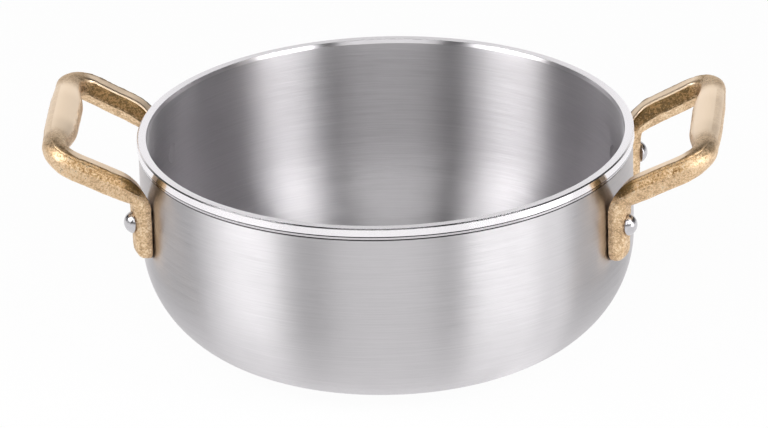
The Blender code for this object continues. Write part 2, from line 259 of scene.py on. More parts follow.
def brushed_aluminium():
    made, tree, shader, place = new_metal("spun_brushed_aluminium")
    height = add_node(tree, "ShaderNodeSeparateXYZ", {0: place}).outputs[2]
    flat = add_node(tree, "ShaderNodeVectorMath", {0: place, 1: (1, 1, 0)}, operation="MULTIPLY")
    reach = add_node(tree, "ShaderNodeVectorMath", {0: flat}, operation="LENGTH")
    rim = rim_mask(tree, height, reach.outputs["Value"])
    rim_colour, rim_rough = rim_finish(tree, height, reach.outputs["Value"])
    streaks = streak_space(tree, place)
    streak = add_node(tree, "ShaderNodeTexNoise",
                      {"Vector": streaks, "Scale": 1.0, "Detail": 3.0, "Roughness": 0.6})
    mottle = add_node(tree, "ShaderNodeTexNoise", {"Vector": place, "Scale": 1 / MOTTLE_SIZE, "Detail": 3.0})
    tone = add_node(tree, "ShaderNodeMix", {0: MOTTLE_SHARE, 2: streak, 3: mottle}, data_type="FLOAT")
    brushed = add_node(tree, "ShaderNodeMix",
                       {0: tone, 6: linear("#C8C6C8"), 7: linear("#EAE7EA")}, data_type="RGBA")
    rough = add_node(tree, "ShaderNodeMapRange",
                     {0: tone, 1: NOISE_LOW, 2: NOISE_HIGH, 3: SMOOTHEST_BRUSHED, 4: ROUGHEST_BRUSHED})
    colour = add_node(tree, "ShaderNodeMix", {0: rim, 6: brushed.outputs[2], 7: rim_colour}, data_type="RGBA")
    finish = add_node(tree, "ShaderNodeMix", {0: rim, 2: rough, 3: rim_rough}, data_type="FLOAT")
    level = add_node(tree, "ShaderNodeMath", {0: 1.0, 1: rim}, operation="SUBTRACT")
    bump = add_node(tree, "ShaderNodeBump", {"Strength": level, "Distance": SCRATCH_DEPTH,
                                             "Height": brushed_relief(tree, streaks)})
    tangent = add_node(tree, "ShaderNodeTangent", direction_type="RADIAL", axis="Z")
    fill(tree, shader, {"Base Color": colour.outputs[2], "Roughness": finish, "Normal": bump,
                        "Tangent": tangent, "Anisotropic": 1.0, "Anisotropic Rotation": QUARTER_TURN})
    return made


spun_aluminium = brushed_aluminium()
print("finish:", spun_aluminium.name)

# %% [markdown]
# The pan's own line: half its section, from the middle of the floor up the inside, over the rim, down the
# outside and back to the axis. The mouth flares a little just under the rim. The rim carries a small bead
# with a polished face, then a groove, a fine ridge and another groove. Those are only tenths of a millimetre,
# but in the picture they draw dark lines under the bright one, so they are real shape and not bump.

# %% The turned line of the pan
WALL_THICKNESS = 3.0 * MM
WALL_DRAFT = math.radians(0.5)
BASE_CORNER_RADIUS = 35.5 * MM
MOUTH_BAND = 1.3 * MM
MOUTH_EDGE_RADIUS = 0.06 * MM
BEAD_CHAMFER = (0.45 * MM, 0.34 * MM)
BEAD_LEAN = 0.12 * MM
GROOVE_DEPTH = 0.45 * MM
GROOVE_EDGE = 0.05 * MM
RIDGE_PROUD = 0.25 * MM
RIDGE_START = 3.06 * MM
RIDGE_END = 3.66 * MM
# How far below the rim the bead, the two grooves and the ridge turn, and how far each turn is from the wall
BEAD_STEPS = ((BEAD_HEIGHT, BEAD_PROUD), (BEAD_HEIGHT + GROOVE_EDGE, -GROOVE_DEPTH),
              (RIDGE_START, RIDGE_PROUD), (RIDGE_END, RIDGE_PROUD), (RIDGE_END + GROOVE_EDGE, -GROOVE_DEPTH))
STRAIGHT_WALL = PAN_HEIGHT - BASE_CORNER_RADIUS
CORNER_CENTRE_RADIUS = WALL_RADIUS - STRAIGHT_WALL * math.tan(WALL_DRAFT) - BASE_CORNER_RADIUS
CORNER_STEPS = 40
MOUTH_STEPS = 3
ROW = 4 * MM
HOLD = 0.08 * MM


def wall_radius_at(height):
    """Outside radius of the straight wall at a height over the base."""
    return WALL_RADIUS - (PAN_HEIGHT - height) * math.tan(WALL_DRAFT)


def held(first, last):
    """Both ends of a flat face, with a point close inside each so that smooth shading keeps the face flat."""
    share = HOLD / math.dist(first, last)
    return [tuple(blend(a, b, t) for a, b in zip(first, last)) for t in (0, share, 1 - share, 1)]


def straight(first, last, step):
    """Evenly spaced points between two points, without the last one."""
    length = math.dist(first, last)
    count = max(1, round(length / step))
    return [tuple(blend(a, b, i / count) for a, b in zip(first, last)) for i in range(count)]


def rim_turns():
    """The rim from the end of the mouth's cylinder, over its flat and the bead, down to the wall."""
    edge_centre = (MOUTH_RADIUS + MOUTH_FLARE + MOUTH_EDGE_RADIUS, PAN_HEIGHT - MOUTH_EDGE_RADIUS)
    mouth_edge = arc(edge_centre, MOUTH_EDGE_RADIUS, math.pi, math.pi / 2, MOUTH_STEPS)
    bevel = held((MOUTH_RADIUS, PAN_HEIGHT - MOUTH_BAND), mouth_edge[0])
    chamfer_top = (RIM_RADIUS - BEAD_LEAN - BEAD_CHAMFER[0], PAN_HEIGHT)
    bead_edge = held(chamfer_top, (RIM_RADIUS - BEAD_LEAN, PAN_HEIGHT - BEAD_CHAMFER[1]))
    grooves = [(WALL_RADIUS + proud, PAN_HEIGHT - below) for below, proud in BEAD_STEPS]
    band_end = (wall_radius_at(PAN_HEIGHT - RIM_BAND), PAN_HEIGHT - RIM_BAND)
    flat = held(mouth_edge[-1], bead_edge[0])[1:-1]
    face = held(bead_edge[-1], grooves[0])[1:-1]
    return bevel + mouth_edge[1:] + flat + bead_edge + face + grooves + [band_end]


def pan_line():
    """Points of (radius, height), starting and ending on the axis."""
    centre = (CORNER_CENTRE_RADIUS, BASE_CORNER_RADIUS)
    inner_corner = arc(centre, BASE_CORNER_RADIUS - WALL_THICKNESS, -math.pi / 2, 0, CORNER_STEPS)
    outer_corner = arc(centre, BASE_CORNER_RADIUS, 0, -math.pi / 2, CORNER_STEPS)
    rim = rim_turns()
    floor = straight((0, WALL_THICKNESS), inner_corner[0], ROW)
    inside = straight(inner_corner[-1], rim[0], ROW)
    outside = straight(rim[-1], outer_corner[0], ROW)
    base = straight(outer_corner[-1], (0, 0), ROW)
    return floor + inner_corner[:-1] + inside + rim[:-1] + outside + outer_corner[:-1] + base + [(0, 0)]


line = pan_line()
print("pan line:", len(line), "points, floor radius", round(CORNER_CENTRE_RADIUS / MM, 1), "mm")

# %% [markdown]
# Turning a line round an axis is a rule, so a small Geometry Nodes tree does it: the line is the profile
# that Curve to Mesh carries once round a circle. A Screw modifier could turn it too, but one tree with named
# inputs serves the pan and, later, the rivets. The profile is laid out from the circle, so the radius of the
# circle is one of those inputs.

# %% Turn the line round the axis
PATH_RADIUS = 50 * MM
PAN_STEPS = 256
POLE_MERGE = 0.002 * MM


def new_tree(name, inputs, output):
    """An empty Geometry Nodes tree with its named inputs and one output, and the sockets of the inputs."""
    tree = bpy.data.node_groups.new(name, "GeometryNodeTree")
    for label, kind in inputs.items():
        tree.interface.new_socket(label, in_out="INPUT", socket_type="NodeSocket" + kind)
    tree.interface.new_socket(output, in_out="OUTPUT", socket_type="NodeSocketGeometry")
    return tree, add_node(tree, "NodeGroupInput").outputs


def end_tree(tree, shape, finish):
    """Makes instances real, because the export drops them, and gives the whole its material."""
    real = add_node(tree, "GeometryNodeRealizeInstances", {"Geometry": shape})
    dressed = add_node(tree, "GeometryNodeSetMaterial", {"Geometry": real, "Material": finish})
    add_node(tree, "NodeGroupOutput", {0: dressed})


def grow(source, tree, values, name):
    """The plain mesh that a tree makes from an object. A modifier knows its inputs by identifier only."""
    growth = source.modifiers.new("Grow", "NODES")
    growth.node_group = tree
    for socket in tree.interface.items_tree:
        if socket.name in values:
            growth[socket.identifier] = values[socket.name]
    return settle(source, name)


def turning_tree():
    tree, given = new_tree("turn_once_round", {"Line": "Geometry", "Path radius": "Float", "Steps": "Int",
                                               "Finish": "Material"}, "Shell")
    profile = add_node(tree, "GeometryNodeMeshToCurve", {"Mesh": given["Line"]})
    path = add_node(tree, "GeometryNodeCurvePrimitiveCircle",
                    {"Resolution": given["Steps"], "Radius": given["Path radius"]}, mode="RADIUS")
    skin = add_node(tree, "GeometryNodeCurveToMesh", {"Curve": path, "Profile Curve": profile})
    whole = add_node(tree, "GeometryNodeMergeByDistance", {"Geometry": skin, "Distance": POLE_MERGE})
    soft = add_node(tree, "GeometryNodeSetShadeSmooth", {"Geometry": whole})
    end_tree(tree, soft, given["Finish"])
    return tree


TURNING = turning_tree()


def turned(name, points, steps, finish):
    """A plain mesh object: the line of (radius, height) points turned once round Z."""
    laid = [(radius - PATH_RADIUS, -height, 0) for radius, height in points]
    mesh = bpy.data.meshes.new(name)
    mesh.from_pydata(laid, [(i, i + 1) for i in range(len(laid) - 1)], [])
    values = {"Path radius": PATH_RADIUS, "Steps": steps, "Finish": finish}
    return grow(add_object(name + "_line", mesh), TURNING, values, name)


print("tree:", TURNING.name, "with", len(TURNING.nodes), "nodes")

# %% [markdown]
# Each point of the pan gets its distance along the turned line, which the streaks read. Edges that turn more
# than a set angle stay sharp, so the fine steps under the rim are shaded as steps.

# %% The pan
SHARP_TURN = math.radians(24)


def mark_profile(shell):
    """Gives every point its distance along the turned profile."""
    layer = shell.data.attributes.new("along", "FLOAT", "POINT")
    middle = BASE_CORNER_RADIUS - WALL_THICKNESS / 2
    for vert in shell.data.vertices:
        radius = math.hypot(vert.co.x, vert.co.y)
        out = max(radius - CORNER_CENTRE_RADIUS, 0)
        down = max(BASE_CORNER_RADIUS - vert.co.z, 0)
        along = (middle * math.atan2(down, out) + max(CORNER_CENTRE_RADIUS - radius, 0)
                 - max(vert.co.z - BASE_CORNER_RADIUS, 0))
        layer.data[vert.index].value = along


pan = turned("pan", line, PAN_STEPS, spun_aluminium)
mark_profile(pan)
pan.data.set_sharp_from_angle(angle=SHARP_TURN)
print("pan:", len(pan.data.polygons), "faces")

# %% [markdown]
# Sand-cast brass is rough where it came out of the mould and bright where it was ground. The sides of arms
# and feet keep the mould's skin, golden, with pale tops on its grains that are a painted highlight and brown
# between them that is partly painted shade. It is too rough to mirror anything, so the eye sees a glow with
# grain in it. The ground grip is smoother and paler. Two masks on the mesh say how much skin a point has and
# how much brown, which is partly stain and partly painted shade, so one material is enough.

# %% Cast brass
GRAIN = 0.75 * MM
FINE_GRAIN = 0.32 * MM
GRAIN_PATCH = 3.0 * MM
GRAIN_DEPTH = 0.17 * MM
FINE_SHARE = 0.4
PATCH_SHARE = 0.28
GROUND_BRASS = "#FFE7CA"
# Noise values and the skin's colours there: the pits, partly painted shade, the slopes between, and the tops
# of the grains, a painted highlight
SKIN_PITS_AND_SHADE = (0.375, "#7A5930")
SKIN_SLOPES = (0.50, "#D0AC7E")
SKIN_TOP_HIGHLIGHTS = (0.625, "#FFEBCC")
# A dark brown, which is partly stain and partly painted shade
STAIN_AND_SHADE_COLOUR = "#59431F"
# The noise over which the brown shows, where its mask is 0 and where it is 1
STAIN_AND_SHADE_OVER = (0.70, 0.36)
STAIN_AND_SHADE_EDGE = (-0.03, 0.05)
STAIN_AND_SHADE_STRENGTH = 0.9
GROUND_ROUGHNESS = 0.34
SKIN_ROUGHNESS = 0.57


def mould_grain(tree, place):
    """One noise of fine grains, coarser grains and patches a few millimetres wide."""
    grain = add_node(tree, "ShaderNodeTexNoise",
                     {"Vector": place, "Scale": 1 / GRAIN, "Detail": 4.0, "Roughness": 0.65})
    fine = add_node(tree, "ShaderNodeTexNoise", {"Vector": place, "Scale": 1 / FINE_GRAIN, "Detail": 2.0})
    patch = add_node(tree, "ShaderNodeTexNoise",
                     {"Vector": place, "Scale": 1 / GRAIN_PATCH, "Detail": 3.0, "Roughness": 0.6})
    close = add_node(tree, "ShaderNodeMix", {0: FINE_SHARE, 2: grain, 3: fine}, data_type="FLOAT")
    return add_node(tree, "ShaderNodeMix", {0: PATCH_SHARE, 2: close, 3: patch}, data_type="FLOAT")


def cast_brass():
    made, tree, shader, place = new_metal("sand_cast_brass")
    cast = add_node(tree, "ShaderNodeAttribute", attribute_name="cast").outputs["Fac"]
    stain_and_shade = add_node(tree, "ShaderNodeAttribute", attribute_name="stain_and_shade").outputs["Fac"]
    grain = mould_grain(tree, place)
    # The skin's colour follows the grain that also raises its bump: painted shade in the pits, a painted
    # highlight on the tops.
    skin = add_node(tree, "ShaderNodeValToRGB", {0: grain})
    ramp = skin.color_ramp
    for element, (value, code) in zip(ramp.elements, (SKIN_PITS_AND_SHADE, SKIN_TOP_HIGHLIGHTS)):
        element.position = value
        element.color = linear(code)
    ramp.elements.new(SKIN_SLOPES[0]).color = linear(SKIN_SLOPES[1])
    colour = add_node(tree, "ShaderNodeMix", {0: cast, 6: linear(GROUND_BRASS), 7: skin}, data_type="RGBA")
    # The brown shows where the grain passes a threshold that its mask lowers; it is partly stain, partly
    # painted shade.
    darkening_threshold = add_node(tree, "ShaderNodeMapRange",
                     {0: stain_and_shade, 1: 0.0, 2: 1.0, 3: STAIN_AND_SHADE_OVER[0], 4: STAIN_AND_SHADE_OVER[1]})
    patchy = add_node(tree, "ShaderNodeMath", {0: grain, 1: darkening_threshold}, operation="SUBTRACT")
    stain_and_shade_share = add_node(tree, "ShaderNodeMapRange",
                    {0: patchy, 1: STAIN_AND_SHADE_EDGE[0], 2: STAIN_AND_SHADE_EDGE[1], 3: 0.0, 4: STAIN_AND_SHADE_STRENGTH})
    stained_and_shaded = add_node(tree, "ShaderNodeMix",
                       {0: stain_and_shade_share, 6: colour.outputs[2], 7: linear(STAIN_AND_SHADE_COLOUR)}, data_type="RGBA")
    rough = add_node(tree, "ShaderNodeMapRange",
                     {0: cast, 1: 0.0, 2: 1.0, 3: GROUND_ROUGHNESS, 4: SKIN_ROUGHNESS})
    lift = add_node(tree, "ShaderNodeMath", {0: grain, 1: cast}, operation="MULTIPLY")
    bump = add_node(tree, "ShaderNodeBump", {"Distance": GRAIN_DEPTH, "Height": lift})
    fill(tree, shader, {"Base Color": stained_and_shaded.outputs[2], "Roughness": rough, "Normal": bump})
    return made


brass = cast_brass()
print("finish:", brass.name)

# %% [markdown]
# The casting's route. Seen from above, an arm leaves the wall square to it and then heads for the grip's
# corner. Seen from the side, the foot lies on the wall, bends with a large radius over its back and a small
# one under it, and the arm rises in a straight line. Only the front half is worked out; the rear mirrors it.
# A curve with a profile would carry one section all the way, but this casting keeps changing its section, so
# it is skinned over many cross-sections that formulas place.

# %% Sizes and directions of the handle
FOOT_SPACING = 56.4 * MM
GRIP_CORNER_SPACING = 65.5 * MM
GRIP_STANDOFF = 24.3 * MM
GRIP_RISE = 4.2 * MM
ARM_ROOT_DROP = 10.7 * MM
ARM_SIZE = 8.0 * MM
GRIP_HEIGHT = 9.2 * MM
GRIP_CORNER_RADIUS = 8.0 * MM
GRIP_OUTER_SWELL = 0.6 * MM
GRIP_INNER_SWELL = 2.2 * MM
CORNER_SWELL = 0.10
SWELL_REACH = 0.65
FOOT_TIP_DROP = 32.2 * MM
FOOT_WIDTH = 8.5 * MM
FOOT_THICKNESS = 5.6 * MM
FOOT_TIP_THICKNESS = 4.7 * MM
TIP_THINNING = 0.35
FOOT_TURN = 7.0 * MM
BACK_RADIUS = 16.0 * MM
BELLY_RADIUS = 2.0 * MM
RIVET_DROP = 19.4 * MM
FIT_GAP = 0.3 * MM

RIVET_HEIGHT = PAN_HEIGHT - RIVET_DROP
SEAT_RADIUS = wall_radius_at(RIVET_HEIGHT) + FIT_GAP
FOOT_ANGLE = math.asin(FOOT_SPACING / 2 / SEAT_RADIUS)
OUTWARD = Vector((math.cos(FOOT_ANGLE), -math.sin(FOOT_ANGLE), 0))
SIDEWAYS = Vector((-math.sin(FOOT_ANGLE), -math.cos(FOOT_ANGLE), 0))
SEAT_POINT = OUTWARD * SEAT_RADIUS
TURN_POINT = SEAT_POINT + OUTWARD * FOOT_TURN
GRIP_CORNER = Vector((RIM_RADIUS + GRIP_STANDOFF, -GRIP_CORNER_SPACING / 2, 0))
GRIP_HEADING = Vector((0, 1, 0))
ARM_HEADING = (GRIP_CORNER - TURN_POINT).normalized()
ARM_RUN = FOOT_TURN + (GRIP_CORNER - TURN_POINT).length
ARM_SLOPE = math.atan2(GRIP_RISE + ARM_ROOT_DROP, ARM_RUN)
ARM_DIRECTION = ARM_HEADING * math.cos(ARM_SLOPE) + Vector((0, 0, math.sin(ARM_SLOPE)))
CORNER_TURN = math.acos(ARM_DIRECTION.dot(GRIP_HEADING))
CORNER_SET_BACK = GRIP_CORNER_RADIUS * math.tan(CORNER_TURN / 2)
print("arm: run", round(ARM_RUN / MM, 1), "mm, slope", round(math.degrees(ARM_SLOPE), 1), "degrees")

# %% [markdown]
# A two-part mould gives the arm its section: widest at the parting line half way up, with a narrow flat on
# top and another underneath. The foot is a D with its flat on the wall. The grip is full and round. Each
# section is eight corners, joined by edges and rounded by a radius of its own, and the number of points on
# each edge is fixed, so all the rings fit one skin. The side faces get more points, for the mould's grain.

# %% Cross-sections
# Half width of the top, heights of both ends of the flank, and half width of the underside, as shares
ARM_SECTION = (0.60, 0.06, -0.06, 0.60)
GRIP_SECTION = (0.46, 0.40, -0.36, 0.46)
FOOT_SECTION = (0.97, 0.70, 0.10, 0.62)
ARM_EDGE = 0.55 * MM
GRIP_EDGE = 2.2 * MM
FOOT_EDGE = 0.8 * MM
ROUNDING_LIMIT = 0.45
CORNER_POINTS = 4
# The eight edges, in their order round a section
OUTER_UPPER, OUTER_FLANK, OUTER_LOWER, UNDERSIDE, INNER_LOWER, INNER_FLANK, INNER_UPPER, TOP = range(8)
EDGE_POINTS = (11, 2, 9, 5, 9, 2, 11, 6)


@dataclass
class Station:
    """One cross-section: its middle, its axes (across points out of the loop), half sizes and skin."""
    middle: Vector
    across: Vector
    up: Vector
    outer: float
    inner: float
    half_height: float
    section: tuple
    edge: float
    skin: tuple

    def corners(self):
        top, high, low, bottom = self.section
        half = [(top, 1), (1, high), (1, low), (bottom, -1)]
        outer = [Vector((x * self.outer, y * self.half_height)) for x, y in half]
        inner = [Vector((-x * self.inner, y * self.half_height)) for x, y in half[::-1]]
        return outer + inner

    def flat_ring(self):
        """Points of the rounded outline, each with the number of its edge and how far along it lies."""
        corners = self.corners()
        count = len(corners)
        points = []
        for i, here in enumerate(corners):
            before = corners[i - 1]
            after = corners[(i + 1) % count]
            into = (before - here).normalized() * min(self.edge, ROUNDING_LIMIT * (before - here).length)
            out = (after - here).normalized() * min(self.edge, ROUNDING_LIMIT * (after - here).length)
            for k in range(CORNER_POINTS):
                t = k / CORNER_POINTS
                points.append((here + into * (1 - t) ** 2 + out * t ** 2, i, 0.0))
            start = here + out
            end = after - out
            for k in range(EDGE_POINTS[i]):
                t = k / EDGE_POINTS[i]
                points.append((start.lerp(end, t), i, t))
        return points


def mix_sections(first, second, share):
    return [blend(a, b, share) for a, b in zip(first, second)]


print("a section has", sum(EDGE_POINTS) + CORNER_POINTS * len(EDGE_POINTS), "points")

# %% [markdown]
# The foot lies on the wall, and its half round tip thins out. Over the bend and along the arm, a section
# spans from a point of the back to one of the belly. A station's skin is three numbers: how much of it is
# foot, how much is arm, and how far it is along, from 0 at the bend to 1 at the arm's end and 2 on the grip.

# %% Sections of foot and arm
def plan_point(run):
    """Place seen from above, a distance out from the wall along the arm."""
    on_arm = TURN_POINT + ARM_HEADING * (run - FOOT_TURN)
    if run >= 2 * FOOT_TURN:
        return on_arm
    square_out = SEAT_POINT + OUTWARD * run
    return square_out.lerp(on_arm, run / (2 * FOOT_TURN))


def line_height(run, side):
    """Height of the arm's top line (side 1) or underside (side -1), a distance out from the wall."""
    middle = PAN_HEIGHT - ARM_ROOT_DROP + run * math.tan(ARM_SLOPE)
    return middle + side * ARM_SIZE / 2 / math.cos(ARM_SLOPE)


def foot_thickness_at(height):
    tip = PAN_HEIGHT - FOOT_TIP_DROP
    top = PAN_HEIGHT - ARM_ROOT_DROP
    return blend(FOOT_TIP_THICKNESS, FOOT_THICKNESS, min((height - tip) / (top - tip), 1))


def foot_station(climb):
    height = PAN_HEIGHT - FOOT_TIP_DROP + climb
    tip_radius = FOOT_WIDTH / 2
    reach = min(climb / tip_radius, 1)
    half_width = tip_radius * math.sqrt(max(1 - (1 - reach) ** 2, 0))
    thickness = foot_thickness_at(height) * blend(TIP_THINNING, 1, half_width / tip_radius)
    middle = OUTWARD * (wall_radius_at(height) + FIT_GAP + thickness / 2)
    middle.z = height
    return Station(middle, SIDEWAYS, -OUTWARD, half_width, half_width, thickness / 2, FOOT_SECTION, FOOT_EDGE,
                   (1, 0, 0))


def rail_station(back, belly, share, arm_share):
    """The section between a point of the back and one of the belly; share runs from foot to arm."""
    top = plan_point(back.x) + Vector((0, 0, back.y))
    bottom = plan_point(belly.x) + Vector((0, 0, belly.y))
    up = (top - bottom).normalized()
    share = smooth_step(share)
    arm_side = Vector((ARM_HEADING.y, -ARM_HEADING.x, 0))
    across = SIDEWAYS.lerp(arm_side, share)
    across = (across - up * across.dot(up)).normalized()
    half_width = blend(FOOT_WIDTH, ARM_SIZE, share) / 2
    section = mix_sections(FOOT_SECTION, ARM_SECTION, share)
    return Station((top + bottom) / 2, across, up, half_width, half_width, (top - bottom).length / 2, section,
                   blend(FOOT_EDGE, ARM_EDGE, share), (1 - share, share, arm_share))


print("foot at the rivet:", round(foot_thickness_at(RIVET_HEIGHT) / MM, 2), "mm thick")

# %% [markdown]
# Back and belly bend round different centres, so neither is an offset of the other: rays from the belly's
# small arc find the back, be it straight foot, large arc or the arm's top. Stations follow each other every
# 0.4 to 0.6 mm, near the size of the mould's grain, which will be pressed into the skin as real shape.

# %% Stations from the foot's tip to the end of the arm
TIP_STEPS = 10
TIP_START = 0.3
FOOT_STEPS = 30
BEND_STEPS = 26
ARM_STEPS = 34
BACK_TURN = math.pi / 2 - ARM_SLOPE
BACK_START = line_height(0, 1) - BACK_RADIUS * math.tan(BACK_TURN / 2)
BACK_END = BACK_RADIUS * (1 - math.cos(BACK_TURN))


def back_point(start, ray):
    """Where a ray from a point under the back meets it: straight foot, large arc, then the arm's top."""
    offset = Vector((BACK_RADIUS, BACK_START)) - start
    along = offset.dot(ray)
    reach = along + math.sqrt(max(BACK_RADIUS**2 - (offset.length_squared - along**2), 0))
    on_arc = start + ray * reach
    if on_arc.y < BACK_START:
        return start - ray * (start.x / ray.x)
    if on_arc.x <= BACK_END:
        return on_arc
    normal = Vector((-math.sin(ARM_SLOPE), math.cos(ARM_SLOPE)))
    to_top_line = Vector((0, line_height(0, 1))) - start
    return start + ray * (to_top_line.dot(normal) / ray.dot(normal))


def foot_bend_and_arm():
    tip_radius = FOOT_WIDTH / 2
    run = FOOT_THICKNESS + BELLY_RADIUS
    centre = Vector((run, line_height(run, -1) - BELLY_RADIUS / math.cos(ARM_SLOPE)))
    rise = centre.y - (PAN_HEIGHT - FOOT_TIP_DROP)
    turns = [math.pi / 2 * (i + TIP_START) / TIP_STEPS for i in range(TIP_STEPS)]
    climbs = [tip_radius * (1 - math.cos(turn)) for turn in turns]
    climbs += [blend(tip_radius, rise, i / FOOT_STEPS) for i in range(FOOT_STEPS + 1)]
    stations = [foot_station(climb) for climb in climbs]
    for i in range(1, BEND_STEPS + 1):
        share = i / BEND_STEPS
        angle = blend(math.pi, math.pi / 2 + ARM_SLOPE, share)
        ray = Vector((math.cos(angle), math.sin(angle)))
        stations.append(rail_station(back_point(centre, ray), centre + ray * BELLY_RADIUS, share, 0))
    start = centre.x - BELLY_RADIUS * math.sin(ARM_SLOPE)
    end = ARM_RUN - CORNER_SET_BACK * math.cos(ARM_SLOPE)
    lean = ARM_SIZE / 2 * math.sin(ARM_SLOPE)
    upright = Vector((-math.sin(ARM_SLOPE), math.cos(ARM_SLOPE)))
    for i in range(1, ARM_STEPS + 1):
        run = blend(start, end, i / ARM_STEPS)
        belly = Vector((run + lean, line_height(run + lean, -1)))
        stations.append(rail_station(back_point(belly, upright), belly, 1, i / ARM_STEPS))
    return stations


half_loop = foot_bend_and_arm()
print("foot, bend and arm:", len(half_loop), "sections")

# %% [markdown]
# One radius turns the arm into the grip. The grip swells towards its middle, more inwards than outwards,
# because that is where the fingers lie. Grinding starts in the corner and is full on most of the grip.

# %% Stations of the corner and the grip
GRIP_CORNER_STEPS = 26
GRIP_STEPS = 42
CORNER_GROUND = 0.35
GROUND_REACH = 0.36


def loop_station(middle, across, up, corner_share, grip_share):
    """A section of the corner or the grip, which swells towards the grip's middle."""
    corner_share = smooth_step(corner_share)
    swell = blend(CORNER_SWELL * corner_share, 1, smooth_step(grip_share / SWELL_REACH))
    outer = ARM_SIZE / 2 + GRIP_OUTER_SWELL * swell
    inner = ARM_SIZE / 2 + GRIP_INNER_SWELL * swell
    section = mix_sections(ARM_SECTION, GRIP_SECTION, corner_share)
    edge = blend(ARM_EDGE, GRIP_EDGE, corner_share)
    ground = blend(CORNER_GROUND * corner_share, 1, smooth_step(grip_share, 0.0, GROUND_REACH))
    return Station(middle, across, up, outer, inner, blend(ARM_SIZE, GRIP_HEIGHT, swell) / 2, section, edge,
                   (0, 1 - ground, 1 + corner_share))


def corner_and_grip():
    corner = GRIP_CORNER + Vector((0, 0, PAN_HEIGHT + GRIP_RISE))
    up = ARM_DIRECTION.cross(GRIP_HEADING).normalized()
    inward = up.cross(ARM_DIRECTION)
    centre = corner - ARM_DIRECTION * CORNER_SET_BACK + inward * GRIP_CORNER_RADIUS
    stations = []
    for i in range(1, GRIP_CORNER_STEPS + 1):
        share = i / GRIP_CORNER_STEPS
        angle = CORNER_TURN * share
        across = ARM_DIRECTION * math.sin(angle) - inward * math.cos(angle)
        stations.append(loop_station(centre + across * GRIP_CORNER_RADIUS, across, up, share, 0))
    length = GRIP_CORNER_SPACING / 2 - CORNER_SET_BACK
    for i in range(1, GRIP_STEPS + 1):
        share = i / GRIP_STEPS
        middle = corner + GRIP_HEADING * (CORNER_SET_BACK + length * share)
        stations.append(loop_station(middle, across, up, 1, share))
    return stations


half_loop += corner_and_grip()
print("handle:", 2 * len(half_loop) - 1, "sections of", len(half_loop[0].flat_ring()), "points")

# %% [markdown]
# How much skin and brown a point has depends on its edge; the brown is partly stain and partly painted shade.
# The upper sides keep most of both, above all near the bend and under the crease that the mould left below
# the top, where the brown is painted shade, as it is on the inner sides that face the pan. The top and the
# outside of the grip were ground, but the arm's top gets rough again towards the corner, and a little darker.
# The shares are given.

# %% Masks for skin, stain and painted shade, and crease
FOOT_CAST = 0.75
ARM_CAST = {OUTER_UPPER: 1.0, OUTER_FLANK: 0.8, OUTER_LOWER: 0.75, UNDERSIDE: 0.6, INNER_LOWER: 0.7,
            INNER_FLANK: 0.8, INNER_UPPER: 1.0, TOP: 0.15}
GRIP_CAST = {OUTER_FLANK: 0.2, OUTER_LOWER: 0.6, INNER_LOWER: 0.4, INNER_FLANK: 0.4, INNER_UPPER: 0.4}
# Brown on each edge before the rest is added: stain, and on the inner sides that face the pan, painted shade
LEAST_STAIN_AND_SHADE = {OUTER_FLANK: 0.3, OUTER_LOWER: 0.3, INNER_FLANK: 0.7, INNER_UPPER: 0.7}
# Brown on the upper sides: a base of stain and painted shade, then more painted shade near the bend, in the
# crease and under it
UPPER_STAIN_AND_SHADE = 0.22
BEND_SHADE = 0.5
BEND_REACH = 0.3
CREASE_SHADE = 0.2
CREASE_PLACE = 0.10
UNDER_CREASE_SHADE = 0.2
UNDER_CREASE_REACH = 0.55
CORNER_DARKENING = 0.25
CORNER_START = 1.0
CORNER_FULL = 1.6


def masks(station, edge, along):
    """How much mould skin a point of a station has, how much brown of stain and painted shade, and how deep
    its crease is.
    """
    foot, arm, out = station.skin
    cast = max(foot * FOOT_CAST + arm * ARM_CAST[edge], (1 - foot) * GRIP_CAST.get(edge, 0))
    stain_and_shade = arm * LEAST_STAIN_AND_SHADE.get(edge, 0)
    crease = 0.0
    # The upper sides darken near the bend, in the crease and just under it: painted shade.
    if edge in (OUTER_UPPER, INNER_UPPER):
        from_top = along if edge == OUTER_UPPER else 1 - along
        crease = arm * max(0, 1 - abs(from_top - CREASE_PLACE) / CREASE_PLACE)
        near_bend = 1 - smooth_step(out, 0.0, BEND_REACH)
        under_crease = 1 - smooth_step(from_top, CREASE_PLACE, UNDER_CREASE_REACH)
        upper = (UPPER_STAIN_AND_SHADE + BEND_SHADE * near_bend + UNDER_CREASE_SHADE * under_crease
                 + CREASE_SHADE * crease)
        stain_and_shade = max(stain_and_shade, arm * upper)
    # Towards the grip's corner, the top and outer sides get skin and a little more brown.
    if edge in (TOP, OUTER_UPPER, OUTER_FLANK):
        at_corner = smooth_step(out, CORNER_START, CORNER_FULL)
        stain_and_shade = max(stain_and_shade, arm * CORNER_DARKENING * at_corner)
        cast = max(cast, arm * at_corner)
    return min(cast, 1), min(stain_and_shade, 1), crease


shares = masks(half_loop[-1], OUTER_FLANK, 0.5)
print("skin, stain and crease on the grip's outer flank:", shares)

# %% [markdown]
# Now the skin. Rings of points follow the stations, and the rear half is the front half mirrored. Every point
# carries its two masks, and the mould's grain is pressed in along the normal where the cast mask is high. A
# bump alone would leave the outline smooth. Left and right castings get different grain, as real ones do.

# %% Skin the castings and press the grain in
LUMP_SIZE = 2.6 * MM
LUMP_HEIGHT = 0.15 * MM
GRIT_SIZE = 0.9 * MM
GRIT_HEIGHT = 0.10 * MM
CREASE_DEPTH = 0.14 * MM
RIGHT_GRAIN = Vector((0.031, 0.017, 0.009))
LEFT_GRAIN = Vector((-0.013, 0.023, 0.041))


